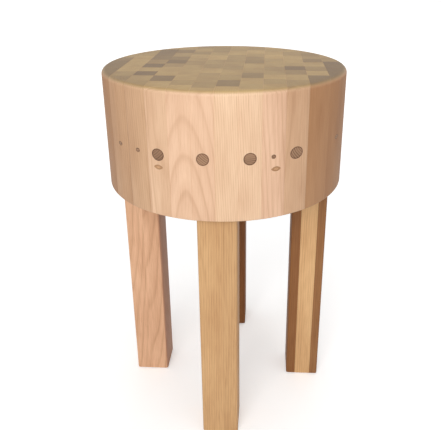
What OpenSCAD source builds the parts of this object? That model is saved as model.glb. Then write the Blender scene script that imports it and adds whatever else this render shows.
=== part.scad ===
// Round end-grain chopping block standing on four square legs.
// The origin is on the floor below the centre of the block, +Z is up and -Y is the front.
// The block is glued up from upright bars: bars in a row lie along Y, rows lie side by side along X.
// Tie rods run through every second row, and their ends are closed by round wooden plugs.

/* [Block] */
// Diameter of the turned block
block_d = 500; // [480:1:520]
// Height of the block
block_h = 240; // [200:1:260]
// Radius of the rounded upper rim
rim_r = 9; // [4:0.5:12]
// Radius of the eased lower edge
lower_r = 3; // [1:0.5:5]

/* [Bars] */
// Width of one row of bars; the two outer rows run on to the rim
row_w = 41; // [39.5:0.5:42]
// Usual length of a bar along its row
bar_len = 44; // [40:1:50]
// How far a joint may wander from its even place, as a share of a bar
wander = 0.13; // [0:0.01:0.18]
// Thickness of the glue line between two bars of a row
glue_line = 0.2; // [0.1:0.05:0.3]

/* [Tie rods] */
// Diameter of the threaded rod
rod_d = 10; // [8:1:10]
// Clearance of the rod in its bore, on the diameter
rod_clear = 1; // [0.5:0.1:2]
// Depth of the counterbore below the round side, on the rod's axis
sink_depth = 36; // [32:1:40]
// Diameter of the counterbore and of the wooden plug in it
plug_d = 23; // [22:0.5:25]
// Length of a plug on its axis
plug_len = 15; // [13:1:16]
// Diameter of a washer
washer_d = 21; // [20:0.5:21.5]
// Thickness of a washer
washer_t = 2; // [1.5:0.5:2.5]
// Width of a nut across its flats
nut_af = 16; // [15:0.5:17]
// Thickness of a nut
nut_t = 8; // [6:0.5:8]
// Length of rod that stands out of a nut
rod_stub = 3; // [2:0.5:4]

/* [Rim dowels and patches] */
// Diameter of the small dowels in the rim
dowel_d = 8; // [6:0.5:10]
// Length of a small dowel
dowel_len = 62; // [50:1:70]
// Width of a pointed patch
patch_w = 17; // [14:0.5:20]
// Height of a pointed patch
patch_h = 9; // [7:0.5:11]
// Depth of a patch into the side
patch_depth = 7; // [5:0.5:9]
// Drop of the patches below the middle of the side
patch_drop = 23.5; // [20:0.5:30]

/* [Legs] */
// Side of a square leg
leg_s = 76; // [68:1:82]
// Length of a leg, from the floor to the underside of the block
leg_len = 528; // [460:1:600]
// Distance from the centre of the block to the axis of a leg
leg_ring = 187; // [180:1:190]
// Radius of a leg's long edges
leg_edge_r = 4; // [2:0.5:8]
// Chamfer round the foot of a leg
foot_chamfer = 3; // [1:0.5:5]

/* [Leg fixings] */
// Diameter of the stud between leg and block
stud_d = 12; // [10:1:14]
// Length of the stud inside the leg
stud_in_leg = 90; // [70:1:110]
// Length of the stud inside the block
stud_in_block = 50; // [40:1:54]
// Outer diameter of the insert nut's barrel
insert_d = 20; // [18:0.5:22]
// Length of the insert nut
insert_len = 54; // [54:1:60]
// Diameter of the insert nut's flange
flange_d = 30; // [26:1:34]
// Thickness of the insert nut's flange
flange_t = 2.5; // [2:0.5:3]

/* [Hidden] */
$fn = 96;
ROWS = 12;
TURN_FN = 360;
SKIN = 1;
block_r = block_d / 2;
mid_z = leg_len + block_h / 2;
// Rows that carry a tie rod, counted from the left
TIED = [4, 6, 8, 10];
// Rows whose front end is pinned by a small dowel
DOWELLED = [2, 3, 9, 12];
// Rows whose front end has a patch let into it, and how far the patch sits off the row's middle
PATCHED = [[4, 0], [9, 4.5]];
// Turn of each leg about the block's axis: front, right, back, left
LEG_TURNS = [0, 90, 180, 270];
BAR_COLOURS = ["burlywood", "tan", "wheat"];

// Left and right side of row i, and the middle between them
function row_left(i) = i == 1 ? -block_r : (i - 1 - ROWS / 2) * row_w;
function row_right(i) = i == ROWS ? block_r : (i - ROWS / 2) * row_w;
function row_mid(i) = (i - 0.5 - ROWS / 2) * row_w;

// Distance from the middle to the round side, along Y, at the place x
function rim_y(x) = sqrt(block_r * block_r - x * x);

// Half the length of row i, taken on its longer side
function row_half(i) = rim_y(min(abs(row_left(i)), abs(row_right(i))));

// Bars in row i. Every second row is shifted by half a bar, so it has one more joint.
function bar_count(i) = round(2 * row_half(i) / bar_len);
function shifted(i) = i % 2 == 0;
function joint_count(i) = shifted(i) ? bar_count(i) : bar_count(i) - 1;
function joint_y(i, k) =
    let (step = 2 * row_half(i) / bar_count(i),
         even_place = k - (shifted(i) ? 0.5 : 0),
         drift = wander * sin(137.5 * (7 * i + 3 * k)))
    -row_half(i) + step * (even_place + drift);

// The ends of bar k in row i
function bar_front(i, k) = k == 0 ? -row_half(i) : joint_y(i, k) + glue_line / 2;
function bar_back(i, k) = k == joint_count(i) ? row_half(i) : joint_y(i, k + 1) - glue_line / 2;

// A bar that reaches past the flat of the top is shaped on the lathe
function reaches_rim(i, k) =
    let (x = max(abs(row_left(i)), abs(row_right(i))),
         y = max(abs(bar_front(i, k)), abs(bar_back(i, k))))
    x * x + y * y > pow(block_r - rim_r - SKIN, 2);

// Outline of the turned block: a rounded upper rim and an eased lower edge
module turned_outline() {
    square([block_r - rim_r, block_h]);
    square([block_r - lower_r, block_h - rim_r]);
    translate([0, lower_r]) square([block_r, block_h - lower_r - rim_r]);
    translate([block_r - rim_r, block_h - rim_r]) circle(r = rim_r);
    translate([block_r - lower_r, lower_r]) circle(r = lower_r);
}

module turned_form() {
    translate([0, 0, leg_len])
        rotate_extrude($fn = TURN_FN) turned_outline();
}

// A round hole or rod along Y, from one place on Y to another
module along_y(d, x, from_y, to_y, z) {
    translate([x, from_y, z])
        rotate([-90, 0, 0]) cylinder(d = d, h = to_y - from_y);
}

// Puts its children at the front end and, turned round, at the back end of a tied row
module at_both_ends(x) {
    for (side = [-1, 1])
        translate([x, side * rim_y(x), mid_z])
            rotate([0, 0, side < 0 ? 0 : 180]) children();
}

// Bore and counterbores of the tie rod in row i
module tie_bore(i) {
    x = row_mid(i);
    along_y(rod_d + rod_clear, x, -block_r, block_r, mid_z);
    along_y(plug_d, x, -block_r - SKIN, sink_depth - rim_y(x), mid_z);
    along_y(plug_d, x, rim_y(x) - sink_depth, block_r + SKIN, mid_z);
}

// Pointed patch shape: the part that two equal round discs share
module patch_prism(x) {
    disc_r = (pow(patch_w / 2, 2) + pow(patch_h / 2, 2)) / patch_h;
    offset_z = disc_r - patch_h / 2;
    face_y = -rim_y(x);
    intersection() {
        along_y(2 * disc_r, x, face_y - patch_w, face_y + patch_depth, mid_z - patch_drop - offset_z);
        along_y(2 * disc_r, x, face_y - patch_w, face_y + patch_depth, mid_z - patch_drop + offset_z);
    }
}

// Hole in the underside of the block for one insert nut
module insert_hole() {
    translate([0, -leg_ring, leg_len - SKIN]) cylinder(d = insert_d, h = insert_len + SKIN);
    translate([0, -leg_ring, leg_len - SKIN]) cylinder(d = flange_d, h = flange_t + SKIN);
}

// Everything that is drilled or cut into the bars of row i
module row_cuts(i) {
    for (t = TIED) if (t == i) tie_bore(i);
    for (p = DOWELLED) if (p == i)
        along_y(dowel_d, row_mid(i), -block_r - SKIN, dowel_len - rim_y(row_mid(i)), mid_z);
    for (p = PATCHED) if (p[0] == i) patch_prism(row_mid(i) + p[1]);
    for (a = LEG_TURNS) rotate([0, 0, a]) insert_hole();
}

// Bar k of row i, still square
module bar_blank(i, k) {
    translate([row_left(i), bar_front(i, k), leg_len])
        cube([row_right(i) - row_left(i), bar_back(i, k) - bar_front(i, k), block_h]);
}

module bar(i, k) {
    difference() {
        if (reaches_rim(i, k)) intersection() {
            bar_blank(i, k);
            turned_form();
        }
        else bar_blank(i, k);
        row_cuts(i);
    }
}

// One row of upright bars, glued end to end along Y
module bar_row(i) {
    for (k = [0 : joint_count(i)])
        color(BAR_COLOURS[(i + 2 * k) % len(BAR_COLOURS)]) bar(i, k);
}

// Tie rod number n, counted from the left
module tie_rod(n) {
    x = row_mid(TIED[n - 1]);
    reach = rim_y(x) - sink_depth + washer_t + nut_t + rod_stub;
    color("silver") along_y(rod_d, x, -reach, reach, mid_z);
}

module nut() {
    translate([0, sink_depth - washer_t - nut_t, 0]) rotate([-90, 0, 0]) difference() {
        cylinder(d = nut_af / cos(30), h = nut_t, $fn = 6);
        translate([0, 0, -SKIN]) cylinder(d = rod_d, h = nut_t + 2 * SKIN);
    }
}

module washer() {
    translate([0, sink_depth - washer_t, 0]) rotate([-90, 0, 0]) difference() {
        cylinder(d = washer_d, h = washer_t);
        translate([0, 0, -SKIN]) cylinder(d = rod_d + rod_clear, h = washer_t + 2 * SKIN);
    }
}

module tie_nuts() {
    color("silver") for (t = TIED) at_both_ends(row_mid(t)) nut();
}

module tie_washers() {
    color("gainsboro") for (t = TIED) at_both_ends(row_mid(t)) washer();
}

// Plugs that close the counterbores, turned flush with the side; side is -1 at the front
module plugs(side) {
    color("saddlebrown") for (t = TIED) intersection() {
        translate([row_mid(t), side * (rim_y(row_mid(t)) - plug_len), mid_z])
            rotate([side < 0 ? 90 : -90, 0, 0]) cylinder(d = plug_d, h = block_r);
        turned_form();
    }
}

module front_plugs() {
    plugs(-1);
}

module back_plugs() {
    plugs(1);
}

// Small dowels driven into the front ends of rows, turned flush with the side
module rim_dowels() {
    color("sienna") for (p = DOWELLED) intersection() {
        along_y(dowel_d, row_mid(p), -block_r - SKIN, dowel_len - rim_y(row_mid(p)), mid_z);
        turned_form();
    }
}

// Pointed patch number n, counted from the left, let in flush with the side
module patch(n) {
    color("peru") intersection() {
        patch_prism(row_mid(PATCHED[n - 1][0]) + PATCHED[n - 1][1]);
        turned_form();
    }
}

// Section of a leg with rounded corners
module leg_section() {
    flat = leg_s - 2 * leg_edge_r;
    square([leg_s, flat], center = true);
    square([flat, leg_s], center = true);
    for (x = [-1, 1], y = [-1, 1])
        translate([x * flat / 2, y * flat / 2]) circle(r = leg_edge_r);
}

// Side view of a leg as an extrusion, chamfered at the foot and open above it
module foot_form() {
    foot = leg_s / 2 - foot_chamfer;
    rotate([90, 0, 0]) linear_extrude(height = 2 * leg_s, center = true)
        polygon([[-foot, 0], [foot, 0], [foot + leg_s, leg_s], [foot + leg_s, leg_len + SKIN],
                 [-foot - leg_s, leg_len + SKIN], [-foot - leg_s, leg_s]]);
}

// A leg at the front, turned about the block's axis by a
module leg(a) {
    color("burlywood") rotate([0, 0, a]) translate([0, -leg_ring, 0]) difference() {
        intersection() {
            linear_extrude(height = leg_len) leg_section();
            foot_form();
            rotate([0, 0, 90]) foot_form();
        }
        translate([0, 0, leg_len - stud_in_leg]) cylinder(d = stud_d, h = stud_in_leg + SKIN);
    }
}

// Steel studs that hold the legs to the block
module leg_studs() {
    color("silver") for (a = LEG_TURNS) rotate([0, 0, a])
        translate([0, -leg_ring, leg_len - stud_in_leg])
            cylinder(d = stud_d, h = stud_in_leg + stud_in_block);
}

// Flanged insert nuts, flush with the underside of the block
module insert_nuts() {
    color("goldenrod") for (a = LEG_TURNS) rotate([0, 0, a]) translate([0, -leg_ring, leg_len])
        difference() {
            union() {
                cylinder(d = insert_d, h = insert_len);
                cylinder(d = flange_d, h = flange_t);
            }
            translate([0, 0, -SKIN]) cylinder(d = stud_d, h = insert_len + 2 * SKIN);
        }
}

bar_row(1);  // bar_row_01
bar_row(2);  // bar_row_02
bar_row(3);  // bar_row_03
bar_row(4);  // bar_row_04
bar_row(5);  // bar_row_05
bar_row(6);  // bar_row_06
bar_row(7);  // bar_row_07
bar_row(8);  // bar_row_08
bar_row(9);  // bar_row_09
bar_row(10);  // bar_row_10
bar_row(11);  // bar_row_11
bar_row(12);  // bar_row_12
tie_rod(1);  // tie_rod_1
tie_rod(2);  // tie_rod_2
tie_rod(3);  // tie_rod_3
tie_rod(4);  // tie_rod_4
tie_nuts();
tie_washers();
front_plugs();
back_plugs();
rim_dowels();
patch(1);  // patch_left
patch(2);  // patch_right
leg(0);  // leg_front
leg(90);  // leg_right
leg(180);  // leg_back
leg(270);  // leg_left
leg_studs();
insert_nuts();
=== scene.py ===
"""Round end-grain chopping block on four square legs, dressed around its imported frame.

The block is turned from one round form and cut into its upright bars, which keep their own grain. Legs,
plugs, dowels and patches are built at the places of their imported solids. All lengths are metres.
"""

import logging
import math
import random
from collections.abc import Callable
from dataclasses import dataclass, replace
from enum import Enum

import bmesh
import bpy
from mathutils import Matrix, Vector

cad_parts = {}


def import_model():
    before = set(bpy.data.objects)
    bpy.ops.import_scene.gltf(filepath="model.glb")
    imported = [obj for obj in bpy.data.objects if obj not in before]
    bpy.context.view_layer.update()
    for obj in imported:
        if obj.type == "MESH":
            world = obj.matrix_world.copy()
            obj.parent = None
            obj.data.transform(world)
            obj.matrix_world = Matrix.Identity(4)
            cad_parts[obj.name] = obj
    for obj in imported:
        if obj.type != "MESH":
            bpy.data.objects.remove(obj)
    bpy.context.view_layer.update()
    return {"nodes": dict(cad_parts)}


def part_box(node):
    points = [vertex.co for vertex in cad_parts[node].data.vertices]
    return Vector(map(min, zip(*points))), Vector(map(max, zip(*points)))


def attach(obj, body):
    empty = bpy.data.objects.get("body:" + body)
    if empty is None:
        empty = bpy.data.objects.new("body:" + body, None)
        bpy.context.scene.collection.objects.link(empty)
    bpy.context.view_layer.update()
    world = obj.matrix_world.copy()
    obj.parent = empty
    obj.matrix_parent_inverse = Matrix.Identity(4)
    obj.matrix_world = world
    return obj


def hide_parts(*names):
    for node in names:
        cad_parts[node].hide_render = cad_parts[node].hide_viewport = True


Tree = bpy.types.NodeTree
Node = bpy.types.Node
Socket = bpy.types.NodeSocket
Mesh = bpy.types.Mesh
Item = bpy.types.Object
Material = bpy.types.Material
Work = bmesh.types.BMesh

MATH = "ShaderNodeMath"
VECTOR_MATH = "ShaderNodeVectorMath"
REMAP = "ShaderNodeMapRange"
COMBINE = "ShaderNodeCombineXYZ"
SEPARATE = "ShaderNodeSeparateXYZ"
MULTIPLY = {"operation": "MULTIPLY"}

LOG = logging.getLogger("chopping_block")
MM = 0.001
BODY = "root"
ROW_COUNT = 12
SEED = 4107
WHITE = (1.0, 1.0, 1.0, 1.0)
# Edges that turn by more than this are drawn sharp
SHARP_FROM = math.radians(32)


class GrainRun(Enum):
    """The way the fibres of a piece run, as the order in which X, Y and Z are read."""

    UPRIGHT = ("X", "Y", "Z")
    THROUGH = ("X", "Z", "Y")
    LEVEL = ("Y", "Z", "X")


def linear(hex_colour: str) -> tuple[float, float, float, float]:
    """Turns an sRGB hex colour into the linear colour that a shader takes.

    Args:
        hex_colour: six hex digits, such as "c8a070".

    Returns:
        Linear red, green, blue and an alpha of 1.
    """
    parts = [int(hex_colour[i : i + 2], 16) / 255 for i in (0, 2, 4)]
    red, green, blue = [c / 12.92 if c <= 0.04045 else ((c + 0.055) / 1.055) ** 2.4 for c in parts]
    return red, green, blue, 1.0


def add(tree: Tree, kind: str, settings: dict | None = None, inputs: dict | None = None) -> Node:
    """Adds a node with its settings and its inputs.

    Args:
        tree: the node tree that gets the node.
        kind: the node's type name.
        settings: attributes of the node and their values.
        inputs: socket name or number, and the value or the output socket that feeds it.

    Returns:
        The new node.
    """
    node = tree.nodes.new(kind)
    for name, value in (settings or {}).items():
        setattr(node, name, value)
    for key, value in (inputs or {}).items():
        if isinstance(value, Socket):
            tree.links.new(value, node.inputs[key])
        else:
            node.inputs[key].default_value = value
    return node


def new_material(name: str) -> tuple[Material, Tree, Node]:
    """Makes an empty node material.

    Args:
        name: the material's name.

    Returns:
        The material, its node tree and its output node.
    """
    material = bpy.data.materials.new(name)
    material.use_nodes = True
    tree = material.node_tree
    tree.nodes.clear()
    return material, tree, add(tree, "ShaderNodeOutputMaterial")


@dataclass(frozen=True)
class OiledWood:
    """Planed and oiled wood whose rings are cut from a log, so that its end and side grain belong together.

    Each face carries where its log's heart lies (log_axis, whose third number is the ring spacing), how the
    log leans (log_lean) and the look of its bar (bar_look: depth of colour, seed, pinkness). The rings give
    arcs on the ends and lines or arches on the sides, and the oil a soft satin.
    """

    name: str
    pale: str
    deep: str
    end_pale: str
    end_deep: str
    late: str
    pink: str
    run: GrainRun = GrainRun.UPRIGHT
    ring: float = 4.2 * MM
    fibre: float = 0.9 * MM
    ring_depth: float = 0.26
    patchiness: float = 0.26
    streaks: float = 0.3
    roughness: float = 0.44
    specular: float = 0.32
    ring_wobble: float = 7 * MM
    rim_radius: float = 0.0
    rim_height: float = 0.0
    rim_start: float = 9 * MM
    rim_full: float = 3 * MM
    rim_wear: float = 0.16
    rim_colour: str = "ecd0a6"

    def grain_place(self, tree: Tree) -> dict[str, Socket]:
        """Finds where a point lies in its log.

        Args:
            tree: the material's node tree.

        Returns:
            Sockets: place (fibres along its Z), radius (from the heart), shift and seed (of the noises),
            spacing (of the rings, a factor), tone and pink (of the bar) and end (1 on end grain).
        """
        coordinates = add(tree, "ShaderNodeTexCoord")
        split = add(tree, SEPARATE, None, {0: coordinates.outputs["Object"]})
        facing = add(tree, SEPARATE, None, {0: coordinates.outputs["Normal"]})
        order = self.run.value
        place = add(tree, COMBINE, None, {i: split.outputs[axis] for i, axis in enumerate(order)})
        axis = add(tree, "ShaderNodeAttribute", {"attribute_name": "log_axis"})
        spacing = add(tree, SEPARATE, None, {0: axis.outputs["Vector"]})
        lean = add(tree, "ShaderNodeAttribute", {"attribute_name": "log_lean"})
        look = add(tree, "ShaderNodeAttribute", {"attribute_name": "bar_look"})
        looks = add(tree, SEPARATE, None, {0: look.outputs["Vector"]})
        leant = add(tree, VECTOR_MATH, {"operation": "SCALE"},
                    {0: lean.outputs["Vector"], "Scale": split.outputs[order[2]]})
        heart = add(tree, VECTOR_MATH, {"operation": "ADD"},
                    {0: axis.outputs["Vector"], 1: leant.outputs[0]})
        away = add(tree, VECTOR_MATH, {"operation": "SUBTRACT"},
                   {0: place.outputs[0], 1: heart.outputs[0]})
        across = add(tree, VECTOR_MATH, MULTIPLY,
                     {0: away.outputs[0], 1: (1.0, 1.0, 0.0)})
        length = add(tree, VECTOR_MATH, {"operation": "LENGTH"}, {0: across.outputs[0]})
        end = add(tree, MATH, {"operation": "ABSOLUTE"}, {0: facing.outputs[order[2]]})
        seed = add(tree, MATH, MULTIPLY, {0: looks.outputs["Y"], 1: 37.0})
        shift = add(tree, COMBINE, None, {i: seed.outputs[0] for i in range(3)})
        return {
            "place": place.outputs[0],
            "radius": length.outputs["Value"],
            "shift": shift.outputs[0],
            "seed": seed.outputs[0],
            "spacing": spacing.outputs["Z"],
            "tone": looks.outputs["X"],
            "pink": looks.outputs["Z"],
            "end": end.outputs[0],
        }

    def noise(self, tree: Tree, at: dict[str, Socket], stretch: tuple[float, float, float],
              detail: float) -> Socket:
        """Adds a noise that is stretched along the fibres.

        Args:
            tree: the material's node tree.
            at: the sockets of grain_place.
            stretch: cells per metre along each axis of the place.
            detail: octaves of the noise.

        Returns:
            The noise value, about 0 to 1.
        """
        scaled = add(tree, VECTOR_MATH, MULTIPLY, {0: at["place"], 1: stretch})
        moved = add(tree, VECTOR_MATH, {"operation": "ADD"}, {0: scaled.outputs[0], 1: at["shift"]})
        field = add(tree, "ShaderNodeTexNoise", None,
                    {"Vector": moved.outputs[0], "Scale": 1.0, "Detail": detail, "Roughness": 0.55})
        return field.outputs[0]

    def rings(self, tree: Tree, at: dict[str, Socket]) -> Socket:
        """Adds the year rings, pale early wood that ends in a darker late line.

        Args:
            tree: the material's node tree.
            at: the sockets of grain_place.

        Returns:
            How much of the late wood's colour a point has, 0 to 1.
        """
        wobble = self.noise(tree, at, (16.0, 16.0, 3.5), 2.0)
        waved = add(tree, MATH, {"operation": "MULTIPLY_ADD"},
                    {0: wobble, 1: self.ring_wobble, 2: at["radius"]})
        width = add(tree, MATH, MULTIPLY, {0: at["spacing"], 1: self.ring})
        count = add(tree, MATH, {"operation": "DIVIDE"}, {0: waved.outputs[0], 1: width.outputs[0]})
        part = add(tree, MATH, {"operation": "FRACT"}, {0: count.outputs[0]})
        number = add(tree, MATH, {"operation": "FLOOR"}, {0: count.outputs[0]})
        own = add(tree, MATH, {"operation": "ADD"}, {0: number.outputs[0], 1: at["seed"]})
        chance = add(tree, "ShaderNodeTexWhiteNoise", {"noise_dimensions": "1D"}, {"W": own.outputs[0]})
        strong = add(tree, REMAP, None, {"Value": chance.outputs["Value"], "To Min": 0.35, "To Max": 1.0})
        ramp = add(tree, "ShaderNodeValToRGB", None, {0: part.outputs[0]})
        band = ramp.color_ramp
        band.interpolation = "EASE"
        band.elements[0].position = 0.0
        band.elements[0].color = (0.2, 0.2, 0.2, 1)
        band.elements[1].position = 1.0
        band.elements[1].color = (0.25, 0.25, 0.25, 1)
        for position, level in ((0.3, 0.0), (0.62, 0.25), (0.86, 1.0)):
            element = band.elements.new(position)
            element.color = (level, level, level, 1)
        share = add(tree, MATH, MULTIPLY, {0: ramp.outputs[0], 1: strong.outputs[0]})
        return share.outputs[0]

    @staticmethod
    def blend(tree: Tree, amount: object, first: object, second: object, how: str = "MIX") -> Socket:
        """Mixes an amount of the second colour into the first, in one of the Mix node's ways."""
        settings = {"data_type": "RGBA", "blend_type": how}
        return add(tree, "ShaderNodeMix", settings, {0: amount, 6: first, 7: second}).outputs[2]

    def build(self) -> Material:
        """Builds the finish.

        Returns:
            The material.
        """
        material, tree, output = new_material(self.name)
        at = self.grain_place(tree)
        late = self.rings(tree, at)
        fibre = self.noise(tree, at, (1 / self.fibre, 1 / self.fibre, 0.02 / self.fibre), 3.0)
        broad = self.noise(tree, at, (22.0, 22.0, 5.0), 2.0)
        end_on = add(tree, REMAP, None, {"Value": at["end"], "From Min": 0.45, "From Max": 0.9})
        side = self.blend(tree, at["tone"], linear(self.pale), linear(self.deep))
        side = self.blend(tree, at["pink"], side, linear(self.pink))
        end = self.blend(tree, at["tone"], linear(self.end_pale), linear(self.end_deep))
        base = self.blend(tree, end_on.outputs[0], side, end)
        patchy = add(tree, REMAP, None,
                     {"Value": broad, "From Min": 0.35, "From Max": 0.7, "To Max": self.patchiness})
        base = self.blend(tree, patchy.outputs[0], base, linear(self.late), "MULTIPLY")
        depth = add(tree, MATH, MULTIPLY, {0: late, 1: self.ring_depth})
        base = self.blend(tree, depth.outputs[0], base, linear(self.late), "MULTIPLY")
        streak = add(tree, REMAP, None,
                     {"Value": fibre, "From Min": 0.46, "From Max": 0.78, "To Max": self.streaks})
        base = self.blend(tree, streak.outputs[0], base, linear(self.late), "MULTIPLY")
        if self.rim_radius:
            base = self.worn_rim(tree, at, base)
        rough = add(tree, REMAP, None,
                    {"Value": fibre, "To Min": self.roughness - 0.08, "To Max": self.roughness + 0.12})
        height = add(tree, MATH, {"operation": "MULTIPLY_ADD"}, {0: late, 1: -0.4, 2: fibre})
        bump = add(tree, "ShaderNodeBump", None,
                   {"Strength": 0.25, "Distance": 0.3 * MM, "Height": height.outputs[0]})
        shader = add(tree, "ShaderNodeBsdfPrincipled", None,
                     {"Base Color": base, "Roughness": rough.outputs[0], "IOR": 1.5,
                      "Specular IOR Level": self.specular, "Normal": bump.outputs[0]})
        tree.links.new(shader.outputs[0], output.inputs[0])
        return material

    def worn_rim(self, tree: Tree, at: dict[str, Socket],
                 base: Socket) -> Socket:
        """Rubs the rounded rim of the block a little paler than the rest.

        Args:
            tree: the material's node tree.
            at: the sockets of grain_place.
            base: the colour so far.

        Returns:
            The colour with the worn rim.
        """
        parts = add(tree, SEPARATE, None, {0: at["place"]})
        flat = add(tree, VECTOR_MATH, MULTIPLY, {0: at["place"], 1: (1.0, 1.0, 0.0)})
        out = add(tree, VECTOR_MATH, {"operation": "LENGTH"}, {0: flat.outputs[0]})
        far = add(tree, REMAP, None,
                  {"Value": out.outputs["Value"], "From Min": self.rim_radius - self.rim_start,
                   "From Max": self.rim_radius - self.rim_full})
        high = add(tree, REMAP, None,
                   {"Value": parts.outputs["Z"], "From Min": self.rim_height - self.rim_start,
                    "From Max": self.rim_height - self.rim_full})
        both = add(tree, MATH, MULTIPLY, {0: far.outputs[0], 1: high.outputs[0]})
        share = add(tree, MATH, MULTIPLY, {0: both.outputs[0], 1: self.rim_wear})
        return self.blend(tree, share.outputs[0], base, linear(self.rim_colour))


@dataclass(frozen=True)
class ZincPlatedSteel:
    """Rolled and zinc plated steel: grey, satin, with a faint cloudy spangle."""

    name: str = "zinc_plated_steel_satin"
    colour: str = "b9bcc0"
    cloudy: str = "9b9fa4"

    def build(self) -> Material:
        """Builds the finish.

        Returns:
            The material.
        """
        material, tree, output = new_material(self.name)
        coordinates = add(tree, "ShaderNodeTexCoord")
        cloud = add(tree, "ShaderNodeTexNoise", None,
                    {"Vector": coordinates.outputs["Object"], "Scale": 160.0, "Detail": 3.0})
        mix = add(tree, "ShaderNodeMix", {"data_type": "RGBA"},
                  {0: cloud.outputs[0], 6: linear(self.colour), 7: linear(self.cloudy)})
        rough = add(tree, REMAP, None, {"Value": cloud.outputs[0], "To Min": 0.28, "To Max": 0.42})
        shader = add(tree, "ShaderNodeBsdfPrincipled", None,
                     {"Base Color": mix.outputs[2], "Metallic": 1.0, "Roughness": rough.outputs[0]})
        tree.links.new(shader.outputs[0], output.inputs[0])
        return material


@dataclass(frozen=True)
class LogCut:
    """Where a piece was sawn from its log, and how the piece looks.

    heart is the log's heart across the fibres at the piece's middle, lean its drift per metre along them,
    and spacing widens or narrows the year rings.
    """

    heart: tuple[float, float]
    lean: tuple[float, float]
    middle: float
    tone: float
    seed: float
    pink: float = 0.0
    spacing: float = 1.0

    def stamps(self) -> dict[str, tuple[float, float, float]]:
        """Gives the three face attributes that the wood finish reads."""
        start = [self.heart[i] - self.lean[i] * self.middle for i in range(2)]
        return {
            "log_axis": (start[0], start[1], self.spacing),
            "log_lean": (self.lean[0], self.lean[1], 0.0),
            "bar_look": (self.tone, self.seed, self.pink),
        }


@dataclass(frozen=True)
class Span:
    """A box of one solid, from its lowest to its highest corner."""

    low: Vector
    high: Vector

    @property
    def middle(self) -> Vector:
        """The middle of the box."""
        return (self.low + self.high) / 2


def solid_spans(node: Item) -> list[Span]:
    """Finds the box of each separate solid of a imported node.

    Args:
        node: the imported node's object.

    Returns:
        The boxes, sorted from front to back and then from left to right.
    """
    work = bmesh.new()
    work.from_mesh(node.data)
    bmesh.ops.remove_doubles(work, verts=work.verts, dist=1e-6)
    left = set(work.verts)
    spans = []
    while left:
        reach = [left.pop()]
        solid = list(reach)
        while reach:
            vert = reach.pop()
            for edge in vert.link_edges:
                other = edge.other_vert(vert)
                if other in left:
                    left.remove(other)
                    reach.append(other)
                    solid.append(other)
        places = [v.co for v in solid]
        low = Vector([min(p[i] for p in places) for i in range(3)])
        high = Vector([max(p[i] for p in places) for i in range(3)])
        spans.append(Span(low, high))
    work.free()
    return sorted(spans, key=lambda s: (round(s.middle.y, 4), s.middle.x))


def finish_piece(name: str, mesh: Mesh, material: Material, slot: str, *nodes: str) -> Item:
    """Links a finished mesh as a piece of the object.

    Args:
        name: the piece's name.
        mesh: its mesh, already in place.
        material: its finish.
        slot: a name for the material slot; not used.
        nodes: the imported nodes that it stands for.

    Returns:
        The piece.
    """
    mesh.name = name
    mesh.materials.clear()
    mesh.materials.append(material)
    for polygon in mesh.polygons:
        polygon.material_index = 0
        polygon.use_smooth = True
    mesh.set_sharp_from_angle(angle=SHARP_FROM)
    piece = bpy.data.objects.new(name, mesh)
    bpy.context.scene.collection.objects.link(piece)
    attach(piece, BODY)
    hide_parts(*nodes)
    LOG.info("piece %s: %d faces", name, len(mesh.polygons))
    return piece


def stamp(mesh: Mesh, cut_of: Callable[[Vector], LogCut]) -> None:
    """Writes on each face where it was sawn from its log.

    Args:
        mesh: the mesh that gets the attributes.
        cut_of: gives the LogCut for a face's middle.
    """
    values: dict[str, list[float]] = {"log_axis": [], "log_lean": [], "bar_look": []}
    for polygon in mesh.polygons:
        for name, vector in cut_of(polygon.center).stamps().items():
            values[name].extend(vector)
    for name, flat in values.items():
        layer = mesh.attributes.new(name, "FLOAT_VECTOR", "FACE")
        layer.data.foreach_set("vector", flat)


def cut_with(mesh: Mesh, tool: Mesh) -> Mesh:
    """Cuts a tool's shape out of a mesh.

    Args:
        mesh: the closed mesh to cut.
        tool: the closed mesh to take away.

    Returns:
        A new mesh.
    """
    objects = [bpy.data.objects.new("cut_work", mesh), bpy.data.objects.new("cut_tool", tool)]
    for item in objects:
        bpy.context.scene.collection.objects.link(item)
    modifier = objects[0].modifiers.new("cut", "BOOLEAN")
    modifier.operation = "DIFFERENCE"
    modifier.solver = "EXACT"
    modifier.object = objects[1]
    graph = bpy.context.evaluated_depsgraph_get()
    result = bpy.data.meshes.new_from_object(objects[0].evaluated_get(graph))
    for item in objects:
        data = item.data
        bpy.data.objects.remove(item)
        bpy.data.meshes.remove(data)
    return result


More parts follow.
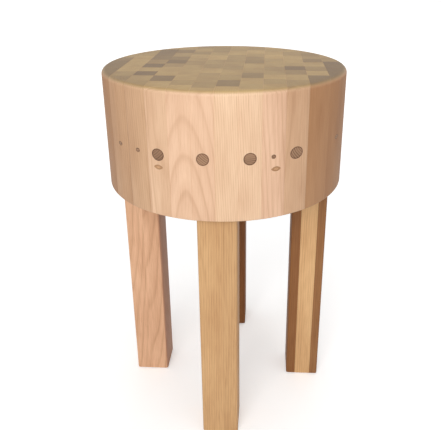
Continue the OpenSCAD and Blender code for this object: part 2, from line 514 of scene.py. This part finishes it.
@dataclass
class TurnedBlock:
    """The round block: one turned form, sawn into the upright bars of its rows."""

    radius: float
    foot: float
    top: float
    rim: float = 9 * MM
    lower: float = 3 * MM
    glue: float = 0.085 * MM
    ease: float = 0.3 * MM
    around: int = 288
    rim_steps: int = 7

    # Bars in which the top shows dark heartwood, by a place in them (X, Y in mm)
    HEARTWOOD = ((-143, 62), (-102, 62), (-143, 102), (-143, 150), (-102, 22), (-102, 160), (-102, -140),
                 (-143, -20), (-143, -120), (146, -50))
    # Depth and pinkness of the bars in view at the front, row by row from the left: the pinkness and the
    # depth of the middle rows are the bars' own colour, and the deeper values towards both ends are painted
    # shade where the round side turns away from the light
    FRONT_LOOKS_AND_PAINTED_SHADE = ((0.75, 0.0), (0.55, 0.0), (0.42, 0.0), (0.18, 0.15), (0.14, 0.35), (0.14, 0.35),
                   (0.05, 0.05), (0.05, 0.1), (0.2, 0.45), (0.42, 0.1), (0.75, 0.0), (0.8, 0.0))
    # Heart (mm from the axis and from the front), lean, seed and ring spacing of boards with their own figure
    ARCHED = ((-41, 52), (0.02, 0.13), 0.37, 2.1)
    STRAIGHT = ((190, 10), (-0.05, 0.0), 0.61, 0.95)
    FRONT_FIGURE = {5: ARCHED, 6: ARCHED, 7: STRAIGHT, 8: STRAIGHT}

    def outline(self) -> list[tuple[float, float]]:
        """Gives the outline of the turned form, from the underside's middle up to the top's middle."""
        points = [(0.0, self.foot)]
        for step in range(5):
            turn = math.radians(90 * step / 4)
            points.append((self.radius - self.lower + self.lower * math.sin(turn),
                           self.foot + self.lower - self.lower * math.cos(turn)))
        for step in range(self.rim_steps + 1):
            turn = math.radians(90 * step / self.rim_steps)
            points.append((self.radius - self.rim + self.rim * math.cos(turn),
                           self.top - self.rim + self.rim * math.sin(turn)))
        points.append((0.0, self.top))
        return points

    def turned(self) -> Work:
        """Turns the outline about the block's axis.

        Returns:
            A closed mesh.
        """
        work = bmesh.new()
        rings = []
        for radius, height in self.outline()[1:-1]:
            rings.append([
                work.verts.new((radius * math.cos(2 * math.pi * i / self.around),
                                radius * math.sin(2 * math.pi * i / self.around), height))
                for i in range(self.around)
            ])
        for lower, upper in zip(rings, rings[1:]):
            for i in range(self.around):
                j = (i + 1) % self.around
                work.faces.new((lower[i], lower[j], upper[j], upper[i]))
        work.faces.new(list(reversed(rings[0])))
        work.faces.new(rings[-1])
        return work

    @staticmethod
    def sawn(work: Work, place: Vector, outward: Vector) -> None:
        """Saws off all that lies beyond a plane and closes the cut.

        Args:
            work: the mesh that is cut.
            place: a point on the plane.
            outward: the side that falls away.
        """
        everything = work.verts[:] + work.edges[:] + work.faces[:]
        bmesh.ops.bisect_plane(work, geom=everything, dist=1e-6, plane_co=place, plane_no=outward,
                               clear_outer=True)
        bmesh.ops.holes_fill(work, edges=[e for e in work.edges if e.is_boundary], sides=0)

    def bar(self, row: Work, span: Span) -> Work:
        """Saws one bar out of its row and eases its sawn edges.

        Args:
            row: the row, still in one piece.
            span: the box of the bar.

        Returns:
            The bar.
        """
        work = row.copy()
        self.sawn(work, Vector((0, span.low.y, 0)), Vector((0, -1, 0)))
        self.sawn(work, Vector((0, span.high.y, 0)), Vector((0, 1, 0)))
        sharp = [e for e in work.edges if len(e.link_faces) == 2 and e.calc_face_angle(0) > math.radians(35)]
        bmesh.ops.bevel(work, geom=sharp, offset=self.ease, offset_type="OFFSET", segments=1, profile=0.5,
                        affect="EDGES", clamp_overlap=True)
        return work

    def row_mesh(self, number: int, spans: list[Span]) -> Mesh:
        """Saws a row out of the turned form, bar by bar.

        Args:
            number: the row, counted from the left.
            spans: the boxes of its bars.

        Returns:
            The row's mesh, its bars apart from each other.
        """
        left = min(s.low.x for s in spans)
        right = max(s.high.x for s in spans)
        row = self.turned()
        if number > 1:
            self.sawn(row, Vector((left, 0, 0)), Vector((-1, 0, 0)))
        if number < ROW_COUNT:
            self.sawn(row, Vector((right, 0, 0)), Vector((1, 0, 0)))
        whole = bpy.data.meshes.new(f"row_{number}")
        joined = bmesh.new()
        for index, span in enumerate(spans):
            low = span.low - Vector((0, self.glue, 0))
            high = span.high + Vector((0, self.glue, 0))
            if index == 0:
                low.y = -self.radius - 1 * MM
            if index == len(spans) - 1:
                high.y = self.radius + 1 * MM
            part = self.bar(row, Span(low, high))
            single = bpy.data.meshes.new("bar")
            part.to_mesh(single)
            part.free()
            joined.from_mesh(single)
            bpy.data.meshes.remove(single)
        joined.to_mesh(whole)
        joined.free()
        row.free()
        return whole

    def cuts(self, number: int, spans: list[Span]) -> list[LogCut]:
        """Chooses the log of each bar of a row.

        Args:
            number: the row, counted from the left.
            spans: the boxes of its bars.

        Returns:
            One LogCut per bar.
        """
        chance = random.Random(SEED + number)
        middle = (self.foot + self.top) / 2
        result = []
        for index, span in enumerate(spans):
            turn = chance.uniform(0, 2 * math.pi)
            away = chance.uniform(45, 170) * MM
            heart = (span.middle.x + away * math.cos(turn), span.middle.y + away * math.sin(turn))
            lean = (chance.gauss(0, 0.03), chance.gauss(0, 0.03))
            tone = min(1.0, max(0.0, chance.gauss(0.3, 0.12)))
            seed = chance.random()
            pink = max(0.0, chance.gauss(0.05, 0.12))
            spacing = chance.uniform(0.7, 1.4)
            if any(span.low.x <= x * MM <= span.high.x and span.low.y <= y * MM <= span.high.y
                   for x, y in self.HEARTWOOD):
                tone = chance.uniform(0.6, 0.85)
            outer = min(self.radius, max(abs(span.low.x), abs(span.high.x)))
            shows_in_front = span.low.y < -math.sqrt(self.radius**2 - outer**2)
            # Bars in view at the front take their listed depth and pinkness, whose darker ends are painted
            # shade of the round side
            if shows_in_front or index == 0:
                tone, pink = self.FRONT_LOOKS_AND_PAINTED_SHADE[number - 1]
            if index == 0 and number in self.FRONT_FIGURE:
                (across, inward), lean, seed, spacing = self.FRONT_FIGURE[number]
                heart = (across * MM, inward * MM - self.radius)
            result.append(LogCut(heart, lean, middle, tone, seed, pink, spacing))
        return result

    def make_row(self, number: int, nodes: dict[str, Item], tools: list["RoundStopper"],
                 patches: list["PointedPatch"], finish: Material) -> Item:
        """Makes one row of bars with its holes and pockets.

        Args:
            number: the row, counted from the left.
            nodes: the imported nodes.
            tools: the plugs and dowels, whose holes are cut.
            patches: the patches, whose pockets are cut.
            finish: the wood of the block.

        Returns:
            The row's piece.
        """
        node_name = f"bar_row_{number:02d}"
        spans = solid_spans(nodes[node_name])
        mesh = self.row_mesh(number, spans)
        left = min(s.low.x for s in spans)
        right = max(s.high.x for s in spans)
        cutters = [t.hole(s) for t in tools for s in t.spans if left < s.middle.x < right]
        cutters += [p.pocket() for p in patches if left < p.span.middle.x < right]
        for cutter in cutters:
            mesh = cut_with(mesh, cutter)
        cuts = self.cuts(number, spans)
        ends = [s.high.y for s in spans[:-1]]

        def cut_of(place: Vector) -> LogCut:
            """Gives the log of the bar that a place lies in."""
            return cuts[sum(place.y > end + 0.1 * MM for end in ends)]

        stamp(mesh, cut_of)
        return finish_piece(f"block_row_{number:02d}", mesh, finish, "block_wood", node_name)


def shaft_mesh(name: str, radius: float, place: Vector, low_y: float, high_y: float, around: int) -> Mesh:
    """Makes a plain round tool along Y, for cutting a hole.

    Args:
        name: the mesh's name.
        radius: the tool's radius.
        place: a point on its axis.
        low_y: its front end.
        high_y: its back end.
        around: its sides.

    Returns:
        The tool's mesh.
    """
    work = bmesh.new()
    turns = [2 * math.pi * i / around for i in range(around)]
    rings = [[work.verts.new((place.x + radius * math.cos(turn), y, place.z + radius * math.sin(turn)))
              for turn in turns] for y in (low_y, high_y)]
    for i in range(around):
        j = (i + 1) % around
        work.faces.new((rings[0][i], rings[0][j], rings[1][j], rings[1][i]))
    work.faces.new(rings[0])
    work.faces.new(rings[1])
    bmesh.ops.recalc_face_normals(work, faces=work.faces)
    mesh = bpy.data.meshes.new(name)
    work.to_mesh(mesh)
    work.free()
    return mesh


@dataclass
class RoundStopper:
    """Round plugs or dowels, turned flush with the side of the block, set out by Geometry Nodes."""

    node: str
    piece: str
    block_radius: float
    spans: list[Span]
    side: float
    gap: float = 0.2 * MM
    around: int = 48
    circles: int = 8
    stripes: tuple[float, ...] = ()
    heart_away: float = 46 * MM
    edge_tone: float = 1.1

    def depth(self, span: Span) -> float:
        """Gives how far a plug reaches, from the axis plane of the block to its inner end."""
        return span.high.y if self.side < 0 else span.low.y

    def hole(self, span: Span) -> Mesh:
        """Makes the tool that cuts a plug's hole, a little deeper than the plug."""
        radius = (span.high.z - span.low.z) / 2
        inner = self.depth(span) - self.side * self.gap * 2
        outer = self.side * (self.block_radius + 5 * MM)
        return shaft_mesh("hole", radius, span.middle, min(inner, outer), max(inner, outer), 64)

    def tree(self) -> tuple[Tree, dict[str, str]]:
        """Builds the tree that sets a stopper on each point and turns its face to the block's round.

        Returns:
            The tree, and the identifier of each input by its name.
        """
        tree = bpy.data.node_groups.new(f"{self.piece}_tree", "GeometryNodeTree")
        face = tree.interface
        face.new_socket("Geometry", in_out="INPUT", socket_type="NodeSocketGeometry")
        names = {}
        for name in ("Stopper Radius", "Stopper Length", "Block Radius", "Side"):
            names[name] = face.new_socket(name, in_out="INPUT", socket_type="NodeSocketFloat").identifier
        finish = face.new_socket("Finish", in_out="INPUT", socket_type="NodeSocketMaterial")
        names["Finish"] = finish.identifier
        face.new_socket("Geometry", in_out="OUTPUT", socket_type="NodeSocketGeometry")
        given = add(tree, "NodeGroupInput").outputs
        blank = add(tree, "GeometryNodeMeshCylinder", {"fill_type": "TRIANGLE_FAN"},
                    {"Vertices": self.around, "Side Segments": 4, "Radius": given["Stopper Radius"],
                     "Depth": given["Stopper Length"]})
        blank.inputs["Fill Segments"].default_value = self.circles
        laid = add(tree, "GeometryNodeTransform", None,
                   {"Geometry": blank.outputs["Mesh"], "Rotation": (math.pi / 2, 0.0, 0.0)})
        placed = add(tree, "GeometryNodeInstanceOnPoints", None,
                     {"Points": given["Geometry"], "Instance": laid.outputs[0]})
        real = add(tree, "GeometryNodeRealizeInstances", None, {0: placed.outputs[0]})
        place = add(tree, "GeometryNodeInputPosition")
        parts = add(tree, SEPARATE, None, {0: place.outputs[0]})
        square = add(tree, MATH, MULTIPLY, {0: parts.outputs["X"], 1: parts.outputs["X"]})
        block = add(tree, MATH, MULTIPLY,
                    {0: given["Block Radius"], 1: given["Block Radius"]})
        rest = add(tree, MATH, {"operation": "SUBTRACT"}, {0: block.outputs[0], 1: square.outputs[0]})
        surface = add(tree, MATH, {"operation": "SQRT"}, {0: rest.outputs[0]})
        out = add(tree, MATH, MULTIPLY, {0: parts.outputs["Y"], 1: given["Side"]})
        held = add(tree, MATH, {"operation": "MINIMUM"}, {0: out.outputs[0], 1: surface.outputs[0]})
        back = add(tree, MATH, MULTIPLY, {0: held.outputs[0], 1: given["Side"]})
        whole = add(tree, COMBINE, None,
                    {"X": parts.outputs["X"], "Y": back.outputs[0], "Z": parts.outputs["Z"]})
        turned = add(tree, "GeometryNodeSetPosition", None,
                     {"Geometry": real.outputs[0], "Position": whole.outputs[0]})
        dressed = add(tree, "GeometryNodeSetMaterial", None,
                      {"Geometry": turned.outputs[0], "Material": given["Finish"]})
        add(tree, "NodeGroupOutput", None, {0: dressed.outputs[0]})
        return tree, names

    def make(self, finish: Material) -> Item:
        """Makes the stoppers of one node as one piece.

        Args:
            finish: the wood of the stoppers.

        Returns:
            The piece.
        """
        radius = (self.spans[0].high.z - self.spans[0].low.z) / 2
        reach = max(abs(s.low.y - s.high.y) for s in self.spans) + 14 * MM
        points = bpy.data.meshes.new("places")
        places = [(s.middle.x, self.depth(s) + self.side * reach / 2, s.middle.z) for s in self.spans]
        points.from_pydata(places, [], [])
        holder = bpy.data.objects.new("holder", points)
        bpy.context.scene.collection.objects.link(holder)
        tree, names = self.tree()
        modifier = holder.modifiers.new("stoppers", "NODES")
        modifier.node_group = tree
        sizes = {"Stopper Radius": radius - self.gap, "Stopper Length": reach,
                 "Block Radius": self.block_radius, "Side": self.side}
        for name, value in sizes.items():
            modifier[names[name]] = value
        modifier[names["Finish"]] = finish
        holder.update_tag()
        graph = bpy.context.evaluated_depsgraph_get()
        mesh = bpy.data.meshes.new_from_object(holder.evaluated_get(graph))
        bpy.data.objects.remove(holder)
        bpy.data.meshes.remove(points)
        chance = random.Random(SEED + len(self.piece))
        turns = self.stripes or [chance.uniform(0.3, 2.8) for _ in self.spans]
        away = self.heart_away
        cuts = [LogCut((s.middle.x + away * math.cos(t), s.middle.z + away * math.sin(t)), (0.0, 0.0), 0.0,
                       chance.uniform(0.2, 0.6), chance.random()) for s, t in zip(self.spans, turns)]

        def cut_of(spot: Vector) -> LogCut:
            """Gives the log of the stopper that a place lies in, darker at its glued edge."""
            index = min(range(len(self.spans)), key=lambda i: abs(self.spans[i].middle.x - spot.x))
            cut = cuts[index]
            away = math.hypot(spot.x - self.spans[index].middle.x, spot.z - self.spans[index].middle.z)
            edge = away > radius * (1 - 1.0 / self.circles)
            return replace(cut, tone=self.edge_tone if edge else cut.tone)

        stamp(mesh, cut_of)
        return finish_piece(self.piece, mesh, finish, "plug_wood", self.node)


@dataclass
class PointedPatch:
    """A small pointed patch that fills a flaw in the side, with a darker glued outline."""

    node: str
    block_radius: float
    span: Span
    steps: int = 12
    gap: float = 0.15 * MM

    def ring(self, share: float) -> list[tuple[float, float]]:
        """Gives the patch's outline drawn in to a share of its size.

        Args:
            share: 1 is the full outline.

        Returns:
            Points as X and Z from the patch's middle.
        """
        half_w = (self.span.high.x - self.span.low.x) / 2
        half_h = (self.span.high.z - self.span.low.z) / 2
        disc = (half_w**2 + half_h**2) / (2 * half_h)
        reach = math.asin(half_w / disc)
        points = []
        for side in (1, -1):
            for step in range(self.steps):
                turn = side * (reach - 2 * reach * step / self.steps)
                points.append((share * disc * math.sin(turn),
                               share * side * (disc * math.cos(turn) - disc + half_h)))
        return points

    def body(self, grow: float, outer: float | None) -> Work:
        """Builds the patch as a closed solid.

        Args:
            grow: how much larger than the patch it is.
            outer: a fixed front for a cutting tool, or None for a front that follows the block.

        Returns:
            The solid.
        """
        work = bmesh.new()
        centre = self.span.middle
        half_w = (self.span.high.x - self.span.low.x) / 2
        full = 1 + grow / half_w

        def point(x: float, z: float, y: float | None) -> bmesh.types.BMVert:
            """Adds a point, on the block's side where no depth is given."""
            far = y if y is not None else -math.sqrt(self.block_radius**2 - (centre.x + x) ** 2)
            return work.verts.new((centre.x + x, far, centre.z + z))

        rings = [[point(x, z, self.span.high.y + grow) for x, z in self.ring(full)]]
        shares = (full,) if outer is not None else (full, 0.88, 0.5)
        for share in shares:
            rings.append([point(x, z, outer) for x, z in self.ring(share)])
        count = len(rings[0])
        for inner, next_ring in zip(rings, rings[1:]):
            for i in range(count):
                j = (i + 1) % count
                work.faces.new((inner[i], inner[j], next_ring[j], next_ring[i]))
        work.faces.new(rings[0])
        work.faces.new(rings[-1])
        bmesh.ops.recalc_face_normals(work, faces=work.faces)
        return work

    def pocket(self) -> Mesh:
        """Makes the tool that cuts the patch's pocket."""
        work = self.body(self.gap, -self.block_radius - 5 * MM)
        mesh = bpy.data.meshes.new("pocket")
        work.to_mesh(mesh)
        work.free()
        return mesh

    def make(self, finish: Material) -> Item:
        """Makes the patch.

        Args:
            finish: the wood of the patch.

        Returns:
            The piece.
        """
        work = self.body(0.0, None)
        mesh = bpy.data.meshes.new(self.node)
        work.to_mesh(mesh)
        work.free()
        centre = self.span.middle
        half_w = (self.span.high.x - self.span.low.x) / 2
        half_h = (self.span.high.z - self.span.low.z) / 2

        def cut_of(spot: Vector) -> LogCut:
            """Gives the log of the patch, darker at its glued outline."""
            edge = abs(spot.x - centre.x) / half_w + abs(spot.z - centre.z) / half_h > 0.72
            return LogCut((centre.y + 0.08, centre.z - 0.05), (0.0, 0.0), 0.0, 0.6 if edge else 0.25, 0.4)

        stamp(mesh, cut_of)
        return finish_piece(f"{self.node}_piece", mesh, finish, "patch_wood", self.node)


@dataclass
class SquareLeg:
    """A square leg with rounded long edges and a chamfered foot, glued up from upright boards.

    boards gives, from left to right, each board's share of the width and the depth of its colour; a dark
    depth can also be painted shade, such as a narrow strip on a leg's shaded side.
    """

    node: str
    low: Vector
    high: Vector
    cut: LogCut
    boards: tuple[tuple[float, float], ...]
    edge: float = 4 * MM
    chamfer: float = 3 * MM
    corner_steps: int = 4
    levels: int = 14

    def section(self, inset: float) -> list[tuple[float, float]]:
        """Gives the leg's section, drawn in by an inset.

        Args:
            inset: how far the flats are drawn in.

        Returns:
            Points as X and Y from the leg's middle.
        """
        half = (self.high.x - self.low.x) / 2 - inset
        flat = half - self.edge
        points = []
        for corner in range(4):
            centre_turn = math.radians(45 + 90 * corner)
            cx = flat * math.copysign(1, math.cos(centre_turn))
            cy = flat * math.copysign(1, math.sin(centre_turn))
            for step in range(self.corner_steps + 1):
                turn = math.radians(90 * corner + 90 * step / self.corner_steps)
                points.append((cx + self.edge * math.cos(turn), cy + self.edge * math.sin(turn)))
            if corner in (0, 2):
                joints = [(2 * share - 1) * flat for share in self.joints()]
                away = half if corner == 0 else -half
                points += [(x, away) for x in (reversed(joints) if corner == 0 else joints)]
        return points

    def joints(self) -> list[float]:
        """Gives the places of the glue joints as shares of the leg's width."""
        shares = [width for width, _ in self.boards]
        return [sum(shares[: i + 1]) for i in range(len(shares) - 1)]

    def cut_of(self, spot: Vector) -> LogCut:
        """Gives the log of the board that a place lies in."""
        share = (spot.x - self.low.x) / (self.high.x - self.low.x)
        index = sum(share > joint for joint in self.joints())
        tone = self.boards[index][1]
        shift = 0.05 * index
        return replace(self.cut, tone=tone, seed=self.cut.seed + shift,
                       heart=(self.cut.heart[0] + shift, self.cut.heart[1]))

    def make(self, finish: Material) -> Item:
        """Makes the leg.

        Args:
            finish: the wood of the legs.

        Returns:
            The piece.
        """
        centre = (self.low + self.high) / 2
        heights = [(self.low.z, self.chamfer), (self.low.z + self.chamfer, 0.0)]
        rise = self.high.z - self.low.z - self.chamfer
        heights += [(self.low.z + self.chamfer + rise * i / self.levels, 0.0)
                    for i in range(1, self.levels + 1)]
        work = bmesh.new()
        rings = [[work.verts.new((centre.x + x, centre.y + y, z)) for x, y in self.section(inset)]
                 for z, inset in heights]
        for lower, upper in zip(rings, rings[1:]):
            for i in range(len(lower)):
                j = (i + 1) % len(lower)
                work.faces.new((lower[i], lower[j], upper[j], upper[i]))
        work.faces.new(list(reversed(rings[0])))
        work.faces.new(rings[-1])
        bmesh.ops.recalc_face_normals(work, faces=work.faces)
        mesh = bpy.data.meshes.new(self.node)
        work.to_mesh(mesh)
        work.free()
        stamp(mesh, self.cut_of)
        return finish_piece(f"{self.node}_piece", mesh, finish, "leg_wood", self.node)


@dataclass
class Studio:
    """Plain pale floor, soft light and the camera at the photograph's angle.

    The camera was fitted to the photograph's outline of the block and legs, in a frame of 442 by 430 pixels.
    """

    image_width: float = 442.0
    image_height: float = 430.0
    focal: float = 535.9
    centre_x: float = 240.34
    centre_y: float = 163.0
    place: tuple[float, float, float] = (0.0882, -1.1106, 0.9736)
    pitch: float = 0.3658
    heading: float = 0.0502
    sensor: float = 36.0
    floor_half: float = 12.0

    def camera(self) -> None:
        """Sets up the camera."""
        data = bpy.data.cameras.new("photo_camera")
        data.sensor_width = self.sensor
        data.lens = self.focal / self.image_width * self.sensor
        data.shift_x = (self.image_width / 2 - self.centre_x) / self.image_width
        data.shift_y = (self.centre_y - self.image_height / 2) / self.image_width
        camera = bpy.data.objects.new("photo_camera", data)
        camera.location = self.place
        camera.rotation_euler = (math.pi / 2 - self.pitch, 0.0, self.heading)
        bpy.context.scene.collection.objects.link(camera)
        bpy.context.scene.camera = camera

    def lamp(self, name: str, place: tuple[float, float, float], size: float, power: float) -> None:
        """Adds one soft area lamp that looks at the block.

        Args:
            name: the lamp's name.
            place: where it hangs.
            size: its side.
            power: its power in watts.
        """
        data = bpy.data.lights.new(name, "AREA")
        data.shape = "SQUARE"
        data.size = size
        data.energy = power
        lamp = bpy.data.objects.new(name, data)
        lamp.location = place
        lamp.rotation_euler = (Vector((0, 0, 0.5)) - Vector(place)).to_track_quat("-Z", "Y").to_euler()
        bpy.context.scene.collection.objects.link(lamp)

    def world(self) -> None:
        """Fills the room with soft light and shows a white background to the camera."""
        world = bpy.data.worlds.new("studio")
        world.use_nodes = True
        tree = world.node_tree
        tree.nodes.clear()
        path = add(tree, "ShaderNodeLightPath")
        seen = add(tree, MATH, {"operation": "MAXIMUM"},
                   {0: path.outputs["Is Camera Ray"], 1: path.outputs["Is Transmission Ray"]})
        seen = add(tree, MATH, {"operation": "MAXIMUM"},
                   {0: seen.outputs[0], 1: path.outputs["Is Glossy Ray"]})
        strength = add(tree, REMAP, None, {"Value": seen.outputs[0], "To Min": 0.5, "To Max": 1.0})
        light = add(tree, "ShaderNodeBackground", None,
                    {"Color": WHITE, "Strength": strength.outputs[0]})
        output = add(tree, "ShaderNodeOutputWorld")
        tree.links.new(light.outputs[0], output.inputs[0])
        bpy.context.scene.world = world

    def floor(self) -> None:
        """Lays a wide pale floor that keeps the object's shadow."""
        material, tree, output = new_material("pale_painted_floor")
        shader = add(tree, "ShaderNodeBsdfPrincipled", None,
                     {"Base Color": linear("f7f7f7"), "Roughness": 0.9, "Specular IOR Level": 0.1})
        coordinates = add(tree, "ShaderNodeTexCoord")
        away = add(tree, VECTOR_MATH, {"operation": "LENGTH"}, {0: coordinates.outputs["Object"]})
        lift = add(tree, REMAP, None,
                   {"Value": away.outputs["Value"], "From Min": 0.5, "From Max": 3.0, "To Min": 0.34,
                    "To Max": 0.75})
        glow = add(tree, "ShaderNodeEmission", None, {"Color": WHITE, "Strength": lift.outputs[0]})
        both = add(tree, "ShaderNodeAddShader", None, {0: shader.outputs[0], 1: glow.outputs[0]})
        path = add(tree, "ShaderNodeLightPath")
        pick = add(tree, "ShaderNodeMixShader", None,
                   {0: path.outputs["Is Camera Ray"], 1: shader.outputs[0], 2: both.outputs[0]})
        tree.links.new(pick.outputs[0], output.inputs[0])
        mesh = bpy.data.meshes.new("floor")
        half = self.floor_half
        corners = [(-half, -half, 0), (half, -half, 0), (half, half, 0), (-half, half, 0)]
        mesh.from_pydata(corners, [], [(0, 1, 2, 3)])
        mesh.materials.append(material)
        floor = bpy.data.objects.new("floor", mesh)
        bpy.context.scene.collection.objects.link(floor)

    def build(self) -> None:
        """Builds the camera, lamps, background and floor."""
        self.camera()
        self.lamp("key", place=(-0.5, -2.7, 1.8), size=1.6, power=43.0)
        self.lamp("fill", place=(1.9, -1.6, 1.6), size=1.8, power=6.0)
        self.lamp("overhead", place=(0.1, 0.6, 2.6), size=1.8, power=12.0)
        self.world()
        self.floor()
        bpy.context.scene.view_settings.view_transform = "Standard"


@dataclass
class ChoppingBlock:
    """The whole object: block, stoppers, patches, legs and the hidden steel."""

    nodes: dict[str, Item]

    def leg_looks_and_painted_shade(self) -> dict[str, tuple[LogCut, tuple[tuple[float, float], ...]]]:
        """Gives each leg its log and its light and dark boards, as in the photograph; the back leg's dark
        boards and the left leg's narrow dark strip on its inner side are painted shade.
        """
        half_up = 0.26
        front = LogCut((0.09, -0.21), (0.012, 0.01), half_up, 0.2, 0.21)
        right = LogCut((0.29, -0.09), (0.01, 0.02), half_up, 0.2, 0.52)
        back = LogCut((-0.08, 0.3), (0.02, 0.0), half_up, 0.25, 0.83)
        left = LogCut((-0.24, -0.12), (0.02, 0.04), half_up, 0.16, 0.34, 0.6)
        return {
            "leg_front": (front, ((0.62, 0.3), (0.38, 0.38))),
            "leg_right": (right, ((0.25, 0.92), (0.53, 0.1), (0.22, 0.85))),
            # The back leg stands in the hollow under the block: both its boards are painted dark as painted
            # shade
            "leg_back": (back, ((0.5, 0.8), (0.5, 0.95))),
            # The left leg's last narrow board, 4 per cent of its width, covers its inner side face and is
            # painted dark as painted shade
            "leg_left": (left, ((0.5, 0.1), (0.46, 0.12), (0.04, 1.0))),
        }

    def build(self) -> None:
        """Builds all pieces in order and dresses the hidden steel."""
        low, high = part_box("bar_row_06")
        radius = high.y
        block = TurnedBlock(radius, low.z, high.z)
        # Planed, turned and oiled: warm on the sides, olive brown where the end grain drinks the oil
        block_wood = OiledWood(
            "oiled_hardwood_planed_upright", pale="f1cfac", deep="a2682e", end_pale="bc9c60",
            end_deep="5c4014", late="b58a5c", pink="efc3a8", rim_radius=radius, rim_height=high.z,
        ).build()
        # Planed along the grain and oiled: long streaks, boards of plainly different depth
        leg_wood = OiledWood(
            "oiled_hardwood_planed_leg", pale="efc590", deep="8a5526", end_pale="c39a68", end_deep="7c5630",
            late="b08048", pink="f0c0a4", ring=5.0 * MM, ring_depth=0.3, streaks=0.45,
        ).build()
        # Sawn across and oiled: darker than the side around it, with strong parallel rings
        plug_wood = OiledWood(
            "oiled_dowel_end_grain", pale="c79f7c", deep="8a6448", end_pale="c79f7c", end_deep="7a543c",
            late="5a3c2a", pink="c79f7c", run=GrainRun.THROUGH, ring=3.6 * MM, ring_depth=0.85, streaks=0.15,
        ).build()
        # Planed flush and oiled: close to its surroundings, with level grain and a darker glued edge
        patch_wood = OiledWood(
            "oiled_patch_face_grain", pale="e0b68c", deep="9a6c44", end_pale="e0b68c", end_deep="9a6c44",
            late="a87c50", pink="e0b68c", run=GrainRun.LEVEL, ring=2.4 * MM,
        ).build()
        steel = ZincPlatedSteel().build()
        spans = {name: solid_spans(self.nodes[name])
                 for name in ("front_plugs", "back_plugs", "rim_dowels", "patch_left", "patch_right")}
        stoppers = [
            RoundStopper("front_plugs", "front_plug_set", radius, spans["front_plugs"], -1.0,
                         stripes=(0.9, 1.57, 2.3, 0.6)),
            RoundStopper("back_plugs", "back_plug_set", radius, spans["back_plugs"], 1.0),
            RoundStopper("rim_dowels", "rim_dowel_set", radius, spans["rim_dowels"], -1.0,
                         around=32, circles=5),
        ]
        patches = [PointedPatch(name, radius, spans[name][0]) for name in ("patch_left", "patch_right")]
        for number in range(1, ROW_COUNT + 1):
            block.make_row(number, self.nodes, stoppers, patches, block_wood)
        for stopper in stoppers:
            stopper.make(plug_wood)
        for patch in patches:
            patch.make(patch_wood)
        for name, (cut, boards) in self.leg_looks_and_painted_shade().items():
            foot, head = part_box(name)
            SquareLeg(name, foot, head, cut, boards).make(leg_wood)
        rods = [f"tie_rod_{number}" for number in range(1, 5)]
        for name in (*rods, "tie_nuts", "tie_washers", "leg_studs", "insert_nuts"):
            mesh = self.nodes[name].data
            mesh.materials.clear()
            mesh.materials.append(steel)
            LOG.info("piece %s: packed solid with zinc plated steel", name)


def main() -> None:
    """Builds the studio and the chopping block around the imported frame."""
    logging.basicConfig(level=logging.INFO, format="%(name)s: %(message)s")
    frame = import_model()
    Studio().build()
    ChoppingBlock(frame["nodes"]).build()


if __name__ == "__main__":
    main()
